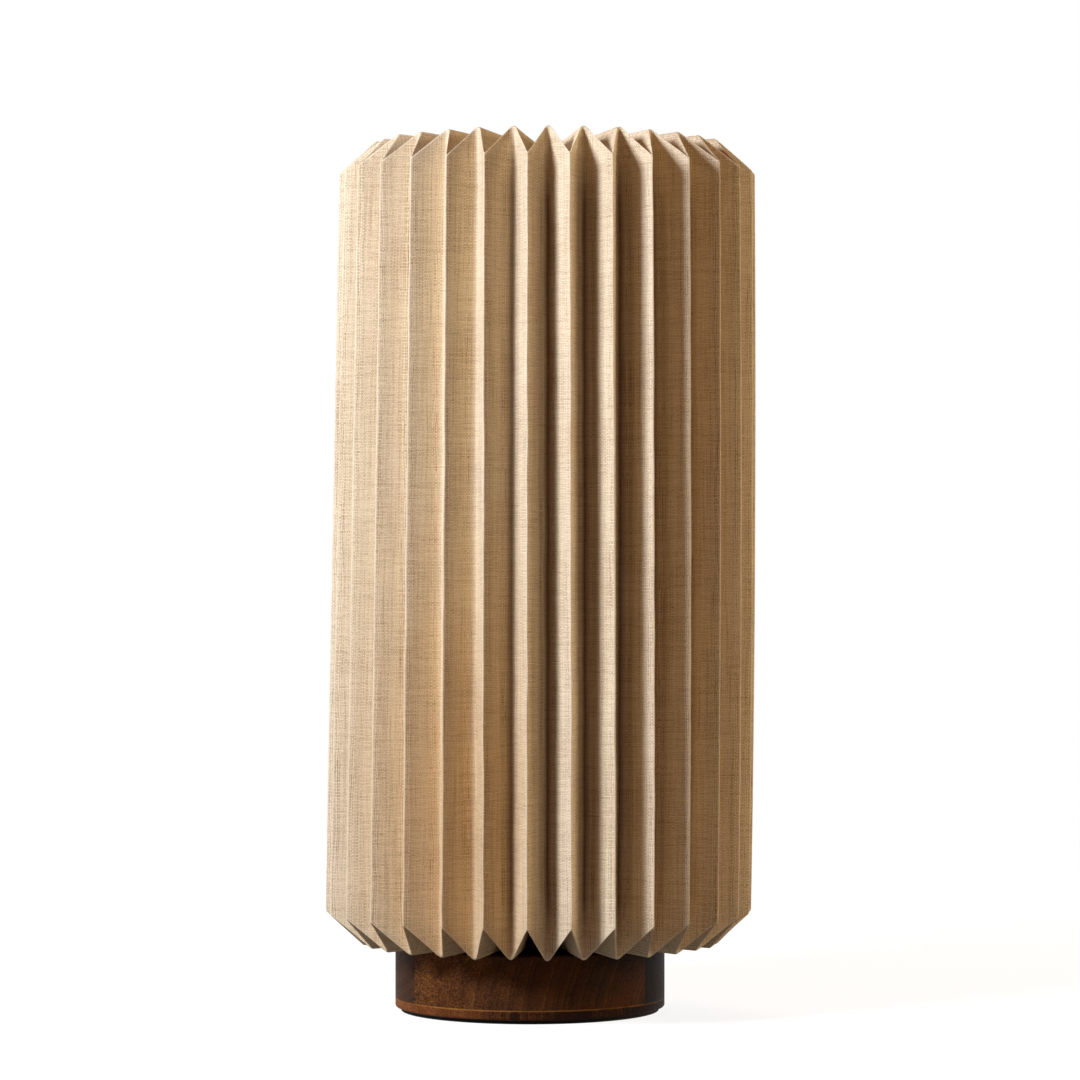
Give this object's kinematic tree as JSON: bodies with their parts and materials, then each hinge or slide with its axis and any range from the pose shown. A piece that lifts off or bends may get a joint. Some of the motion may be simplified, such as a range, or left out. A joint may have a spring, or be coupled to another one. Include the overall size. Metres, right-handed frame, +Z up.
{
  "type": "table lamp",
  "caption": "Table lamp with a tall pleated linen shade standing loose on a low round walnut base, around a stem with a screw-in bulb.",
  "frame": {"origin": "centre of the felt under the base, where the lamp stands", "axes": "+Z up along the stem, the lamp's front towards -Y, the mains lead's outlet towards +Y"},
  "size_m": [0.2131, 0.212, 0.4325],
  "materials": {
    "felt": "pressed wool felt",
    "walnut_light": "oiled walnut, satin",
    "walnut": "oiled walnut, satin",
    "steel": "zinc plated",
    "black_plastic": "satin moulded",
    "white_plastic": "satin moulded",
    "brown_insulation": "flexible insulation",
    "blue_insulation": "flexible insulation",
    "brass": "satin lacquered",
    "bulb_cap_metal": "nickel plated",
    "circuit_board": "glass-filled board",
    "led_board_metal": "white coated",
    "led_phosphor": "phosphor under clear resin",
    "opal": "opal diffuser",
    "linen": "natural linen on a stiffened backing"
  },
  "bodies": {
    "base": {"felt_pad": "felt", "base_plate": "walnut_light", "plate_screws": "steel", "middle_board": "walnut", "left_edge_board": "walnut", "right_edge_board": "walnut", "ballast_disc": "steel", "cord_gland": "black_plastic", "terminal_block": "white_plastic", "terminal_screws": "steel", "block_screw": "steel", "live_wire": "brown_insulation", "neutral_wire": "blue_insulation", "lower_washer": "steel", "lower_nut": "brass", "threaded_tube": "steel", "foot_washer": "brass", "column": "brass", "holder_cap": "black_plastic", "holder_insert": "white_plastic", "holder_skirt": "black_plastic", "holder_screws": "brass", "screw_shell": "brass", "centre_contact": "brass", "side_contact": "brass"},
    "bulb_tip": {"bulb_contact": "brass"},
    "bulb": {"bulb_insulator": "black_plastic", "bulb_cap": "bulb_cap_metal", "bulb_housing": "white_plastic", "driver_board": "circuit_board", "led_board": "led_board_metal", "led_chips": "led_phosphor", "bulb_globe": "opal"},
    "shade_hoop": {"bottom_ring": "brass"},
    "shade": {"top_ring": "brass", "shade_fabric": "linen"}
  },
  "joints": [
    {"name": "shade_lift", "type": "slide", "parent": "base", "child": "shade_hoop", "axis": [0, 0, 1], "range_m": [0, 0.27]},
    {"name": "shade_turn", "type": "hinge", "parent": "shade_hoop", "child": "shade", "pos_m": [0.0046, 0, 0.0428], "axis": [0, 0, 1], "continuous": true},
    {"name": "bulb_travel", "type": "slide", "parent": "base", "child": "bulb_tip", "axis": [0, 0, 1], "range_m": [0, 0.0128]},
    {"name": "bulb_turn", "type": "hinge", "parent": "bulb_tip", "child": "bulb", "pos_m": [0, 0, 0.1902], "axis": [0, 0, 1], "range_deg": [0, 1260]}
  ],
  "couplings": [
    {"joint": "bulb_travel", "follows": "bulb_turn", "m_per_rad": 0.00057757}
  ]
}
